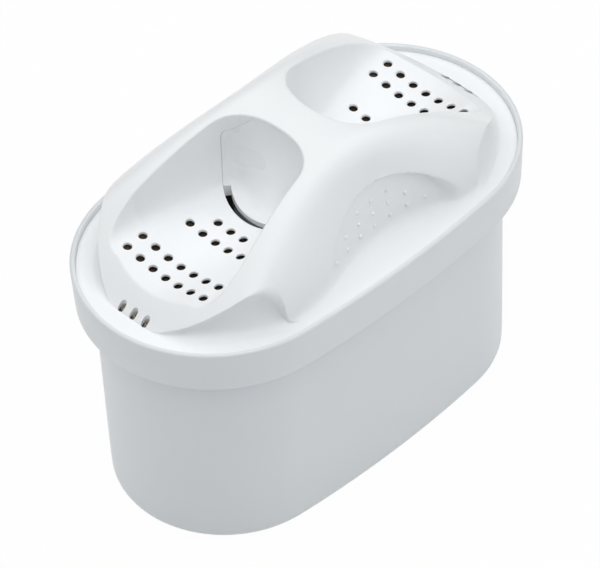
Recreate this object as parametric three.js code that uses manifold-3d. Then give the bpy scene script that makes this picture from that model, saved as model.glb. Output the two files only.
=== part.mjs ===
// Oval drop-in cartridge for a water filter jug, in millimetres, +Z up.
// The origin is on the flat bottom, in its middle. X runs along the oval, Y across it.
import * as THREE from 'three';
import { mergeVertices } from 'three/addons/utils/BufferGeometryUtils.js';
import Module from 'manifold-3d';

const wasm = await Module();
wasm.setup();

// Driving dimensions

// clearance between pieces that touch in the real object
const fit = 0.3;

// tub and its collar
const collarHalfLength = 54.6;
const collarHalfWidth = 31.5;
const collarSideBulge = 1.2;
const collarDraft = 0.45;
const collarBottom = 49.8;
const rimTop = 60;
const rimWidth = 1.2;
const rimRound = 0.5;
const tubInset = 4.4;
const tubDraft = 0.8;
const tubWall = 1.6;
const tubFloor = 1.8;
const tubBottomRound = 3.0;
const shelfThickness = 1.6;

// outlet slots in the bottom of the tub
const outletSlotLength = 12;
const outletSlotWidth = 1.6;
const outletSlotPitch = 4.6;
const outletSlotRows = 2;
const outletSlotsPerRow = 13;
const outletRowPitch = 17;

// cover: ledge, crown and flanks
const ledgeTop = 58.7;
const coverWall = 1.6;
const crownTop = 82;
const crownFootSetback = 0.88675;
const ledgeEndWidth = 5.2;
const ledgeSideWidth = 1.4;
const crownHalfLength = collarHalfLength - ledgeEndWidth;
const crownFall = (crownTop - ledgeTop) / (crownHalfLength - crownFootSetback) ** 2;
const skirtHalfWidth = collarHalfWidth - ledgeSideWidth;
const skirtPower = 2.08;
const skirtFootRound = 1.2;
const bridgeHalfWidth = 15.9;
const ridgeSpread = 0.0053;
const waistHalfWidth = 20.3;
const waistGrowth = 5.0;
const waistReach = 15.0;
const flankPower = 1.85;
const flankPowerGrowth = 1.2;
const flankPowerReach = 29;
const crownEdgeRound = 4.4;
const crownEdgeRoundFall = 0.05;
const flankFootRound = 3.0;

// finger recess in each flank
const recessRadius = 19.0;
const recessCentreX = 4.2;
const recessCentreZ = 53.4;
const recessDepthY = 20.7;
const recessHollowRadius = 48;
const recessLean = 0.15;

// basins
const basinInnerX = 4.45;
const basinFloorZ = 63.1;
const basinFloorBow = 0.015;
const basinHalfWidth = 10.5;
const basinFlare = 0.17;
const basinFlareEndX = 32;
const basinCornerX = 12.6;
const basinCornerPower = 2.4;
const basinScoopEndX = 13.6;
const basinWallDraft = 0.1;
const basinFloorRound = 4.6;
const basinWall = 1.2;

// vent slots through the thin slope at the foot of each end
const ventCount = 3;
const ventPitch = 3.43;
const ventWidth = 1.6;
const ventLength = 2.1;
const ventSetback = 0.8;
const ventWall = 1.0;
const ventOuterX = crownHalfLength - ventSetback;
const ventInnerX = ventOuterX - ventLength;

// flow insert: a round plug under the bridge that carries the two spoon faces
const insertRadius = 15.6;
const insertShoulderZ = 77.3;
const insertShoulderRound = 1.7;
const insertNeckRadius = 9.3;
const insertNeckFlare = 1.5;
const insertNeckRise = 0.9;
const bridgePlate = 1.2;
const insertWall = 1.5;
const spoonWall = 1.7;
const insertBottom = 54.3;

// crescent slots between the lips of the spoons and the basin floors, and the ports below them
const crescentWidth = 1.6;
const crescentHalfAngle = 38.25;
const crescentRise = 3.2;
const portHalfAngle = 50;

// round inlet holes in the basin floors: two rows beside the insert, two near the outer end
const inletHoleDiameter = 1.9;
const inletHolePitch = 3.73;
const innerHoleRowGap = 4.05;
const innerHoleRowPitch = 4.45;
const outerHoleRowSetback = 10.99;
const outerHoleRowPitch = 4.4;
const innerHoleRowX = insertRadius + innerHoleRowGap;
const outerHoleRowX = crownHalfLength - outerHoleRowSetback;
const inletHoleRows = [
  { x: innerHoleRowX, count: 3 },
  { x: innerHoleRowX + innerHoleRowPitch, count: 5 },
  { x: outerHoleRowX - outerHoleRowPitch, count: 7 },
  { x: outerHoleRowX, count: 7 },
];

// screens and filter media
const screenThickness = 0.6;
const screenMargin = 1.6;
const outletScreenThickness = 1.0;
const resinTop = 24;
const fleeceThickness = 1.2;
const carbonTop = 51.3;

// how finely curves are divided
const ovalEndSteps = 18;
const ovalSideSteps = 6;
const skirtSteps = 60;
const roundSteps = 48;
const arcSteps = 10;
const holeSteps = 10;
const flatBand = 0.02;

// how far a cutting shape runs past what it cuts
const overshoot = 4;

// the largest share of a wall's height or width that the rounding at its foot or top may take
const roundShare = 0.7;
const crownRoundShare = 0.45;
const basinWallShare = 0.3;

// Shape helpers

const white = { color: 0xeceef0, roughness: 0.32, metalness: 0 };
const looks = {
  housing: white,
  cover: { color: 0xf1f2f4, roughness: 0.26, metalness: 0 },
  insert: { color: 0xedeff1, roughness: 0.24, metalness: 0 },
  mesh: { color: 0xb7ab98, roughness: 0.9, metalness: 0 },
  darkMesh: { color: 0x3a322c, roughness: 0.9, metalness: 0 },
  carbon: { color: 0x1d1c1b, roughness: 0.95, metalness: 0 },
  fleece: { color: 0xe3e1da, roughness: 0.95, metalness: 0 },
  resin: { color: 0xc79a55, roughness: 0.7, metalness: 0 },
};

// a closed outline of four arcs, drawn anticlockwise, moved inwards by `inset`
function ovalOutline(inset) {
  const a = collarHalfLength - inset;
  const b = collarHalfWidth - inset;
  const r = b - collarSideBulge;
  const side = ((a - r) ** 2 + b * b - r * r) / (2 * (b - r));
  const turn = Math.atan2(side - b, a - r);
  const points = [];
  for (let i = 0; i < ovalEndSteps; i++) {
    const t = -turn + (2 * turn * i) / ovalEndSteps;
    points.push([a - r + r * Math.cos(t), r * Math.sin(t)]);
  }
  for (let i = 0; i < ovalSideSteps; i++) {
    const t = turn + ((Math.PI - 2 * turn) * i) / ovalSideSteps;
    points.push([side * Math.cos(t), side * Math.sin(t) - (side - b)]);
  }
  const half = points.length;
  for (let i = 0; i < half; i++) {
    points.push([-points[i][0], -points[i][1]]);
  }
  return points;
}

// a closed solid from equal rings of [x, y, z] points, with a flat fan over the first and the last
function solidFromRings(rings) {
  const n = rings[0].length;
  const positions = rings.flat(2);
  const faces = [];
  for (let k = 0; k + 1 < rings.length; k++) {
    for (let i = 0; i < n; i++) {
      const j = (i + 1) % n;
      const a = k * n + i;
      const b = k * n + j;
      faces.push(a, b, b + n, a, b + n, a + n);
    }
  }
  for (const k of [0, rings.length - 1]) {
    const ring = rings[k];
    const hub = positions.length / 3;
    const range = [0, 1, 2].map((axis) => {
      const values = ring.map((p) => p[axis]);
      return [Math.min(...values), Math.max(...values)];
    });
    positions.push(...range.map(([low, high], axis) => low + (high - low) * hubShare[axis]));
    for (let i = 0; i < n; i++) {
      const j = (i + 1) % n;
      faces.push(hub, k * n + (k === 0 ? j : i), k * n + (k === 0 ? i : j));
    }
  }
  return solidFrom(positions, faces);
}

// where the hub of a cap's fan lies between the lowest and highest corner of its ring
const hubShare = [0.5, 0.5, 0.35];

function solidFrom(positions, faces) {
  return new wasm.Manifold(new wasm.Mesh({
    numProp: 3,
    vertProperties: Float32Array.from(positions),
    triVerts: Uint32Array.from(faces),
  }));
}

// rings stacked upwards: each level is a height and an inset from the collar's outline
function stack(levels) {
  return solidFromRings(
    levels.map(([z, inset]) => ovalOutline(inset).map(([x, y]) => [x, y, z])),
  );
}

// sections across the oval, each drawn in [y, z] at its own x, anticlockwise seen from +X
function loft(stations, section) {
  return solidFromRings(stations.map((x) => section(x).map(([y, z]) => [x, y, z])));
}

function solid(geometry) {
  let shape = geometry.index ? geometry.clone() : geometry;
  shape.deleteAttribute('normal');
  shape.deleteAttribute('uv');
  shape = mergeVertices(shape, 1e-5);
  return solidFrom(shape.getAttribute('position').array, shape.getIndex().array);
}

// an upright prism over an outline of [x, y] points
function prism(outline, bottom, top) {
  const shape = new THREE.Shape(outline.map(([x, y]) => new THREE.Vector2(x, y)));
  const geometry = new THREE.ExtrudeGeometry(shape, { depth: top - bottom, bevelEnabled: false });
  geometry.translate(0, 0, bottom);
  return solid(geometry);
}

function box(x0, x1, y0, y1, z0, z1) {
  const geometry = new THREE.BoxGeometry(x1 - x0, y1 - y0, z1 - z0);
  geometry.translate((x0 + x1) / 2, (y0 + y1) / 2, (z0 + z1) / 2);
  return solid(geometry);
}

function geometryOf(shape) {
  const mesh = shape.getMesh();
  const geometry = new THREE.BufferGeometry();
  const step = mesh.numProp;
  const positions = new Float32Array((mesh.vertProperties.length / step) * 3);
  for (let i = 0; i < positions.length / 3; i++) {
    positions[3 * i] = mesh.vertProperties[step * i];
    positions[3 * i + 1] = mesh.vertProperties[step * i + 1];
    positions[3 * i + 2] = mesh.vertProperties[step * i + 2];
  }
  geometry.setAttribute('position', new THREE.BufferAttribute(positions, 3));
  geometry.setIndex(new THREE.BufferAttribute(Uint32Array.from(mesh.triVerts), 1));
  geometry.computeVertexNormals();
  return geometry;
}

// a softened corner from `from` to `to`, pulled towards `corner`
function softCorner(from, corner, to, steps) {
  const points = [];
  for (let i = 0; i <= steps; i++) {
    const t = i / steps;
    const keep = (1 - t) ** 2;
    const pull = 2 * t * (1 - t);
    points.push([
      keep * from[0] + pull * corner[0] + t * t * to[0],
      keep * from[1] + pull * corner[1] + t * t * to[1],
    ]);
  }
  return points;
}

function evenly(from, to, steps) {
  return Array.from({ length: steps + 1 }, (_, i) => from + ((to - from) * i) / steps);
}

// Form of the crown

const crownHeight = (x) => crownTop - crownFall * x * x;
const ridgeEdge = (x) => bridgeHalfWidth + ridgeSpread * x * x;
const waist = (x) => waistHalfWidth + waistGrowth * (1 - Math.exp(-((x / waistReach) ** 2)));

// half width of the flank at a height, where 0 is the ledge and 1 the crown
function flank(x, share) {
  const power = flankPower + flankPowerGrowth * (x / flankPowerReach) ** 2;
  return waist(x) - (waist(x) - ridgeEdge(x)) * Math.max(share, 0) ** power;
}

// outer section of the crown at x, sunk all round by `sink`, from its foot on one side to the other
function crownSection(x, sink, fine) {
  const top = crownHeight(x) - sink * Math.hypot(1, 2 * crownFall * x);
  const foot = ledgeTop - coverWall - fit;
  const rise = Math.max(top - ledgeTop, crownRoundShare);
  const rounding = crownEdgeRound - crownEdgeRoundFall * Math.abs(x);
  const round = Math.min(rounding, rise * crownRoundShare);
  const footRound = sink > 0 ? 0 : Math.min(flankFootRound, rise * crownRoundShare);
  const at = (share) => [flank(x, share) - sink, top - rise * (1 - share)];
  const half = [[0, top]];
  const corner = at(1);
  const below = at(1 - round / rise);
  half.push(...softCorner([corner[0] - round, top], corner, below, fine ? 6 : 3));
  const lowest = footRound / rise;
  const walls = evenly(1 - round / rise, lowest, fine ? 5 : 3).slice(1);
  half.push(...walls.map(at));
  if (footRound > 0) {
    const out = [flank(x, 0) + footRound / 2, top - rise];
    half.push(...softCorner(at(lowest), at(0), out, 4).slice(1));
  }
  const end = half[half.length - 1];
  half.push([end[0], foot - 1]);
  return [...half.slice().reverse(), ...half.slice(1).map(([y, z]) => [-y, z])];
}

function skirtOutline(inset) {
  const a = crownHalfLength - inset;
  const b = skirtHalfWidth - inset;
  return Array.from({ length: skirtSteps }, (_, i) => {
    const t = (2 * Math.PI * i) / skirtSteps;
    const c = Math.cos(t);
    const s = Math.sin(t);
    return [
      a * Math.sign(c) * Math.abs(c) ** (2 / skirtPower),
      b * Math.sign(s) * Math.abs(s) ** (2 / skirtPower),
    ];
  });
}

const crownReach = crownHalfLength + 1;

function crownSolid(sink, fine) {
  const stations = evenly(-crownReach, crownReach, fine ? 40 : 24);
  const body = loft(stations, (x) => crownSection(x, sink, fine));
  const foot = ledgeTop - coverWall - fit;
  const flares = sink > 0 ? [] : evenly(0, skirtFootRound, 4).map((rise) => ledgeTop + rise);
  const skirt = solidFromRings([foot, ...flares, crownTop + 1].map((z) => {
    const flare = sink > 0 ? 0 : footFlare(skirtFootRound, z - ledgeTop);
    return skirtOutline(sink - flare).map(([x, y]) => [x, y, z]);
  }));
  return body.intersect(skirt);
}

// Form of the basins

const basinFloor = (y) => basinFloorZ + basinFloorBow * y * y;

function basinRimHalfWidth(x) {
  const straight = basinHalfWidth + basinFlare * Math.min(x, basinFlareEndX);
  if (x >= basinCornerX) {
    return straight;
  }
  const u = (basinCornerX - x) / (basinCornerX - basinInnerX);
  return straight * (1 - u ** basinCornerPower) ** (1 / basinCornerPower);
}

// section of a basin at x, grown all round by `grow`, open upwards past the crown
function basinSection(x, grow) {
  const wide = basinRimHalfWidth(x);
  const scoop = Math.min(Math.max((basinScoopEndX - x) / (basinScoopEndX - basinInnerX), 0), 1);
  const scoopRise = (crownHeight(x) - basinFloorZ) * (1 - Math.sqrt(1 - scoop * scoop));
  const rim = crownHeight(Math.min(x, basinFlareEndX));
  const depth = Math.max(rim - basinFloorZ - scoopRise, flatBand);
  const round = Math.min(basinFloorRound, depth * roundShare, wide * roundShare);
  const edge = wide - basinWallDraft * depth;
  const floor = (y) => basinFloor(y) + scoopRise;
  const flat = edge - round;
  const wallFoot = edge + basinWallDraft * round;
  const dish = [
    ...evenly(0, flat, 3).map((y) => [y, floor(y)]),
    ...softCorner([flat, floor(flat)], [edge, floor(edge)], [wallFoot, floor(edge) + round], 5).slice(1),
  ].map(([y, z]) => [y + grow * Math.max(0, (y - flat) / (wallFoot - flat)), z - grow]);
  const wall = Math.max(wide, wallFoot) + grow;
  const half = [
    ...dish,
    [wall, floor(edge) + round + flatBand + depth * basinWallShare],
    [wall, crownTop + overshoot],
  ];
  return [...half.slice(1).reverse().map(([y, z]) => [-y, z]), ...half];
}

function basinSolid(grow) {
  const cornerDepth = basinCornerX - basinInnerX;
  const corner = evenly(0, Math.PI / 2, 9).slice(1).map(
    (turn) => basinCornerX - cornerDepth * Math.cos(turn) ** (2 / basinCornerPower),
  );
  const straight = evenly(basinCornerX, crownReach + overshoot, 14).slice(1);
  const stations = [basinInnerX + flatBand, ...corner, ...straight];
  return loft(stations, (x) => basinSection(x, grow)).translate([-grow, 0, 0]);
}

function bothEnds(shape) {
  return shape.add(shape.mirror([1, 0, 0]));
}

function bothSides(shape) {
  return shape.add(shape.rotate([0, 0, 180]));
}

// Housing: the tub, its shelf and the collar

const tubInsetAt = (z) => tubInset + tubDraft * (1 - z / collarBottom);
const shelfTop = collarBottom + shelfThickness;

function roundedLevels(z, inset, radius, from, to, steps) {
  return evenly(from, to, steps).map((angle) => {
    const t = THREE.MathUtils.degToRad(angle);
    return [z + radius * Math.sin(t), inset + radius * (1 - Math.cos(t))];
  });
}

function housing() {
  const outside = stack([
    ...roundedLevels(tubBottomRound, tubInsetAt(0), tubBottomRound, -90, 0, 4),
    [collarBottom, tubInset],
    [collarBottom, collarDraft],
    ...roundedLevels(rimTop - rimRound, 0, rimRound, 0, 60, 2),
    [rimTop, rimRound],
    [rimTop, rimWidth - rimRound / 2],
  ]);
  const inside = stack([
    [tubFloor, tubInsetAt(tubFloor) + tubWall],
    [shelfTop, tubInset + tubWall],
    [shelfTop, rimWidth],
    [rimTop - rimRound / 2, rimWidth],
    [rimTop + 1, rimWidth - rimRound / 2 - 1],
  ]);
  let body = outside.subtract(inside);
  for (let row = 0; row < outletSlotRows; row++) {
    const y = (row - (outletSlotRows - 1) / 2) * outletRowPitch;
    for (let i = 0; i < outletSlotsPerRow; i++) {
      const x = (i - (outletSlotsPerRow - 1) / 2) * outletSlotPitch;
      body = body.subtract(box(
        x - outletSlotWidth / 2, x + outletSlotWidth / 2,
        y - outletSlotLength / 2, y + outletSlotLength / 2,
        -1, tubFloor + 1,
      ));
    }
  }
  return body;
}

// Flow insert: the space it shares with its opening in the cover

const plateUnderside = ledgeTop - coverWall;

function roundOutline(radius) {
  return Array.from({ length: roundSteps }, (_, i) => {
    const t = (2 * Math.PI * i) / roundSteps;
    return [radius * Math.cos(t), radius * Math.sin(t)];
  });
}

// a turned plug with a rounded shoulder and a neck that flares down from the bridge
function insertSpace(grow, bottom) {
  const side = insertRadius + grow;
  const neck = insertNeckRadius + grow;
  const shoulder = insertShoulderZ + grow;
  const shoulderEnd = side - insertShoulderRound;
  const profile = [
    [side, bottom],
    ...softCorner([side, shoulder - insertShoulderRound], [side, shoulder], [shoulderEnd, shoulder], 3),
    ...softCorner(
      [shoulderEnd, shoulder], [neck + insertNeckFlare, shoulder + insertNeckRise], [neck, crownTop], 5,
    ).slice(1),
    [neck, crownTop + 1],
  ];
  const plug = solidFromRings(
    profile.map(([radius, z]) => roundOutline(radius).map(([x, y]) => [x, y, z])),
  );
  const reach = insertRadius + overshoot;
  const below = loft(evenly(-reach, reach, 12), (x) => {
    const top = crownHeight(x) - bridgePlate + grow;
    return [[-reach, bottom - 1], [reach, bottom - 1], [reach, top], [-reach, top]];
  });
  return plug.intersect(below);
}

// part of a ring about the middle, at both ends of the oval
function ringSectors(inner, outer, halfAngle, bottom, top) {
  const turn = THREE.MathUtils.degToRad(halfAngle);
  const arc = (radius, from, to) => evenly(from, to, arcSteps).map(
    (t) => [radius * Math.cos(t), radius * Math.sin(t)],
  );
  return bothEnds(prism([...arc(outer, -turn, turn), ...arc(inner, turn, -turn)], bottom, top));
}

function flowInsert(basins) {
  const open = insertBottom - overshoot;
  const inner = insertRadius - crescentWidth;
  const outer = insertRadius + overshoot;
  const crescents = ringSectors(inner, outer, crescentHalfAngle, open, basinFloorZ + crescentRise);
  const ports = ringSectors(inner, outer, portHalfAngle, open, basinFloorZ - spoonWall);
  const hollow = insertSpace(-insertWall, open).subtract(bothEnds(basinSolid(spoonWall)));
  return insertSpace(0, insertBottom).subtract(basins).subtract(hollow).subtract(crescents).subtract(ports);
}

// Cover: ledge, crown, basins and flanks in one moulding

// what a fillet of the given radius takes off a wall's width, at a height above its foot
function footFlare(radius, height) {
  const h = Math.min(Math.max(height, 0), radius);
  return radius - Math.sqrt(radius * radius - (radius - h) ** 2);
}

// a disc sunk into the flank from the front, with a cylindrical, slightly leaning back wall
function recessTool(grow) {
  const reach = 2 * collarHalfWidth;
  const disc = new THREE.CylinderGeometry(recessRadius + grow, recessRadius + grow, reach, 48);
  disc.translate(recessCentreX, -(reach + bridgeHalfWidth) / 2, recessCentreZ);
  const span = Math.asin((recessRadius + grow + overshoot / 2) / recessHollowRadius);
  const levels = [
    ...evenly(0, flankFootRound, 5).map((rise) => ledgeTop + rise),
    recessCentreZ + recessRadius + grow + overshoot,
  ];
  const hollow = solidFromRings(levels.map((z) => {
    const back = recessDepthY + recessHollowRadius - recessLean * (z - recessCentreZ);
    const flare = grow > 0 ? 0 : footFlare(flankFootRound, z - ledgeTop);
    const radius = recessHollowRadius + grow - flare;
    const arc = evenly(-span, span, 16).map(
      (turn) => [recessCentreX - radius * Math.sin(turn), radius * Math.cos(turn) - back, z],
    );
    const side = radius * Math.sin(span);
    const front = -collarHalfWidth - overshoot;
    return [...arc, [recessCentreX - side, front, z], [recessCentreX + side, front, z]];
  }));
  const tool = hollow.intersect(solid(disc));
  return grow > 0 ? tool.add(hollow.translate([0, 0, -overshoot]).intersect(solid(disc))) : tool;
}

const ventReach = ((ventCount - 1) / 2) * ventPitch + ventWidth / 2 + screenMargin;

// the room under the slope behind the vents, sunk all round by `sink`
function ventSpace(sink, setback, reach) {
  const inner = ventInnerX - screenMargin + setback;
  const around = box(inner, crownHalfLength, -reach, reach, ledgeTop - overshoot, crownTop);
  return crownSolid(sink, true).intersect(around);
}

// a slot along X with round ends
function ventOutline(y) {
  const radius = ventWidth / 2;
  const end = (x, first) => evenly(first, first + Math.PI, holeSteps / 2).map(
    (t) => [x + radius * Math.cos(t), y + radius * Math.sin(t)],
  );
  return [...end(ventOuterX - radius, -Math.PI / 2), ...end(ventInnerX + radius, Math.PI / 2)];
}

function cover(basins) {
  const plate = stack([
    [plateUnderside, rimWidth + fit],
    [ledgeTop, rimWidth + fit],
  ]);
  const lip = stack([
    [shelfTop + fit, rimWidth + fit],
    [plateUnderside + 0.2, rimWidth + fit],
  ]).subtract(stack([
    [shelfTop, rimWidth + fit + coverWall],
    [plateUnderside + 1, rimWidth + fit + coverWall],
  ]));
  const recess = bothSides(recessTool(0));
  const recessBack = bothSides(recessTool(coverWall));
  const hollow = crownSolid(coverWall, false)
    .subtract(bothEnds(basinSolid(basinWall)))
    .subtract(recessBack)
    .add(bothEnds(ventSpace(ventWall, 0, ventReach + fit)));
  let body = plate.add(lip).add(crownSolid(0, true)).subtract(hollow);
  body = body.subtract(basins).subtract(recess).subtract(insertSpace(fit, insertBottom - fit));
  const drill = [];
  for (const { x, count } of inletHoleRows) {
    for (let i = 0; i < count; i++) {
      const radius = inletHoleDiameter / 2;
      const hole = new THREE.CylinderGeometry(radius, radius, 3 * overshoot, holeSteps);
      hole.rotateX(Math.PI / 2);
      hole.translate(x, (i - (count - 1) / 2) * inletHolePitch, basinFloorZ);
      drill.push(solid(hole));
    }
  }
  for (let i = 0; i < ventCount; i++) {
    const y = (i - (ventCount - 1) / 2) * ventPitch;
    drill.push(prism(ventOutline(y), plateUnderside - overshoot, ledgeTop + 2 * overshoot));
  }
  for (const cut of drill) {
    body = body.subtract(bothEnds(cut));
  }
  return body;
}

// Screens and media

function inletScreen(side) {
  const margin = inletHoleDiameter / 2 + screenMargin;
  const first = insertRadius + fit + coverWall;
  const last = Math.max(...inletHoleRows.map(({ x }) => x)) + margin;
  const most = Math.max(...inletHoleRows.map(({ count }) => count));
  const reach = ((most - 1) / 2) * inletHolePitch + margin;
  const top = (y) => basinFloor(y) - basinWall - fit;
  const below = (drop) => loft([first - drop, last + drop], () => [
    [-reach - drop, ledgeTop],
    [reach + drop, ledgeTop],
    ...evenly(reach + drop, -reach - drop, 8).map((y) => [y, top(y) - drop]),
  ]);
  const sheet = below(0).subtract(below(screenThickness)).intersect(crownSolid(coverWall + fit, false));
  return side < 0 ? sheet.mirror([1, 0, 0]) : sheet;
}

function ventScreen(side) {
  const sink = ventWall + fit;
  const sheet = ventSpace(sink, fit, ventReach)
    .subtract(ventSpace(sink + screenThickness, -overshoot, ventReach + overshoot));
  return side < 0 ? sheet.mirror([1, 0, 0]) : sheet;
}

function bed(bottom, top) {
  return stack([
    [bottom, tubInsetAt(bottom) + tubWall + fit],
    [top, tubInsetAt(top) + tubWall + fit],
  ]);
}

const outletScreenBottom = tubFloor + fit;
const resinBottom = outletScreenBottom + outletScreenThickness + fit;
const fleeceBottom = resinTop + fit;
const carbonBottom = fleeceBottom + fleeceThickness + fit;

function ductScreen() {
  const top = insertBottom - fit;
  return prism(roundOutline(insertRadius), top - screenThickness, top);
}

// Assembly

const basins = bothEnds(basinSolid(0));

const part = new THREE.Group();
for (const [name, look, shape] of [
  ['housing', looks.housing, housing()],
  ['cover', looks.cover, cover(basins)],
  ['flow_insert', looks.insert, flowInsert(basins)],
  ['duct_screen', looks.darkMesh, ductScreen()],
  ['inlet_screen_left', looks.darkMesh, inletScreen(-1)],
  ['inlet_screen_right', looks.darkMesh, inletScreen(1)],
  ['vent_screen_left', looks.mesh, ventScreen(-1)],
  ['vent_screen_right', looks.mesh, ventScreen(1)],
  ['carbon_bed', looks.carbon, bed(carbonBottom, carbonTop)],
  ['separator_fleece', looks.fleece, bed(fleeceBottom, fleeceBottom + fleeceThickness)],
  ['resin_bed', looks.resin, bed(resinBottom, resinTop)],
  ['outlet_screen', looks.mesh, bed(outletScreenBottom, outletScreenBottom + outletScreenThickness)],
]) {
  const mesh = new THREE.Mesh(geometryOf(shape), new THREE.MeshStandardMaterial(look));
  mesh.name = name;
  part.add(mesh);
}

export default part;
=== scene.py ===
"""Oval drop-in cartridge for a water filter jug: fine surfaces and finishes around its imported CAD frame."""
import math

import bmesh
import bpy
from bpy.props import FloatProperty, FloatVectorProperty, IntProperty, PointerProperty
from mathutils import Matrix, Vector


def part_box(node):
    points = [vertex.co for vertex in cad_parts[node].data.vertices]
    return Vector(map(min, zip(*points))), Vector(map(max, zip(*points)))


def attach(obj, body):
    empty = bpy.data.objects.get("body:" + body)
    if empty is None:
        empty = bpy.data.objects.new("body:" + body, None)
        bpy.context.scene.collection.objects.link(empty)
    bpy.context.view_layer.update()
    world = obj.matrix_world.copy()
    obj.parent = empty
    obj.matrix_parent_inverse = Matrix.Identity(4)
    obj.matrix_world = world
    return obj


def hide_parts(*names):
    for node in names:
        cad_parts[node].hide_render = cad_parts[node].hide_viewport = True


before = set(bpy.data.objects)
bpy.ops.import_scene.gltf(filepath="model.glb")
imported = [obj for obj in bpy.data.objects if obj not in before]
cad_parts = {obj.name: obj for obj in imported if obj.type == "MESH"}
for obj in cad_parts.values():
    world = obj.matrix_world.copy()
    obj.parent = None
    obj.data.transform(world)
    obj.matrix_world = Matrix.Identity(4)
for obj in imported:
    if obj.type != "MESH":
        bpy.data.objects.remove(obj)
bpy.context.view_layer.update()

bl_info = {
    "name": "Jug filter cartridge",
    "version": (1, 0, 0),
    "blender": (4, 5, 0),
    "location": "3D View > Sidebar > Cartridge",
    "description": "Builds the fine surfaces and finishes of an oval water filter cartridge",
    "category": "Object",
}

HOUSING_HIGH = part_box("housing")[1]
COVER_LOW, COVER_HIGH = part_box("cover")
INSERT_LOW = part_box("flow_insert")[0]


def length(name, default, description):
    return FloatProperty(name=name, default=default, description=description, min=0.0, precision=5, unit="LENGTH")


def tint(name, default, description):
    return FloatVectorProperty(
        name=name, default=default, description=description, min=0.0, max=1.0, subtype="COLOR", size=3,
    )


# distance of each row of inlet holes from the middle, and height of each row of bumps, with their counts
HOLE_ROWS = ((0.01965, 3), (0.0241, 5), (0.03401, 7), (0.03841, 7))
BUMP_ROWS = ((0.0678, 3), (0.0647, 5), (0.06155, 7))
BUMP_FLATTENING = 0.8


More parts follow.
